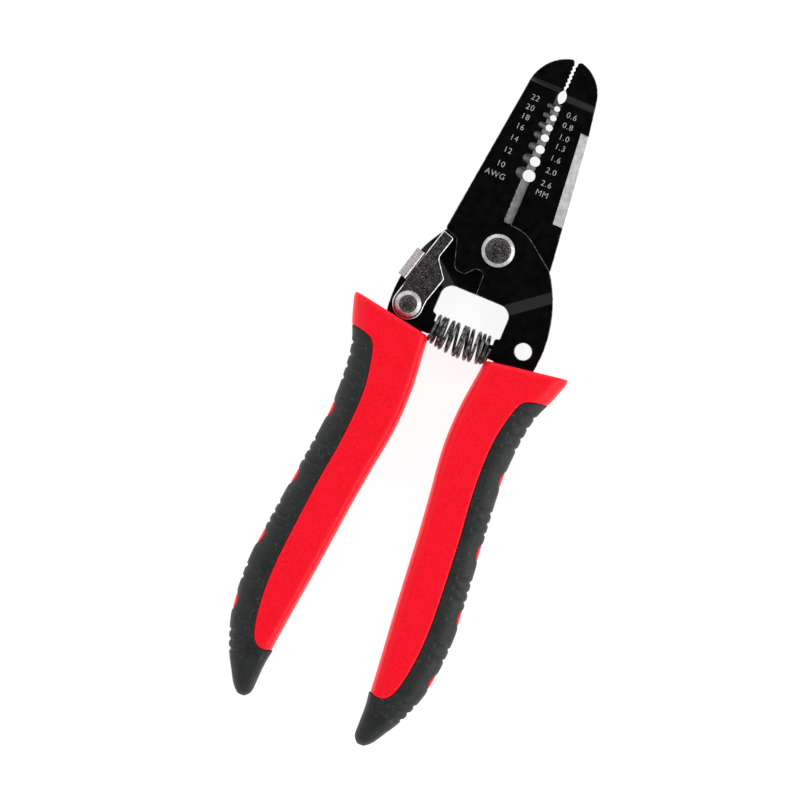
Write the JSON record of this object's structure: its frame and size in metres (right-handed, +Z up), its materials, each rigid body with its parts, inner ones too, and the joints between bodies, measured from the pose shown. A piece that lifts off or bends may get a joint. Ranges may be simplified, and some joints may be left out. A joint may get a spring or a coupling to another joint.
{
  "type": "wire stripper",
  "caption": "Scissor-action wire stripper: two pivoted black steel blades with graded round notches, return coil spring, thumb latch and curved two-colour handles.",
  "frame": {"origin": "middle of the underside of the tool's bounding box, on the surface that the handles lie on", "axes": "+X to the right seen from the printed side, +Y along the tool towards the jaws, +Z up through the flat of the blades, along the pivot"},
  "size_m": [0.0576, 0.1788, 0.0124],
  "materials": {
    "black_steel": "semi-gloss black oxide over stamped steel, bare ground bevels",
    "nickel": "nickel plated, satin with a fine speckle",
    "spring_steel": "black oiled spring wire",
    "red_plastic": "satin moulded plastic with a fine grain",
    "black_rubber": "matte moulded rubber"
  },
  "bodies": {
    "rear_half": {"rear_blade": "black_steel", "pivot_rivet": "nickel", "pivot_washer": "nickel", "latch_rivet": "nickel", "latch_spring_washer": "nickel", "return_spring": "spring_steel", "left_handle_core": "red_plastic", "left_handle_grip": "black_rubber"},
    "front_half": {"front_blade": "black_steel", "right_handle_core": "red_plastic", "right_handle_grip": "black_rubber"},
    "latch": {"latch_lever": "nickel"}
  },
  "joints": [
    {"name": "jaw_pivot", "type": "hinge", "parent": "rear_half", "child": "front_half", "pos_m": [0, 0.03785, 0.0062], "axis": [0, 0, 1], "range_deg": [-0.4, 20], "deforming": ["return_spring"]},
    {"name": "latch_pivot", "type": "hinge", "parent": "rear_half", "child": "latch", "pos_m": [-0.0156, 0.01685, 0.0062], "axis": [0, 0, 1], "range_deg": [-0.95, 42.5]}
  ],
  "couplings": [
    {"joint": "latch_pivot", "follows": "jaw_pivot", "ratio": 2.1}
  ]
}
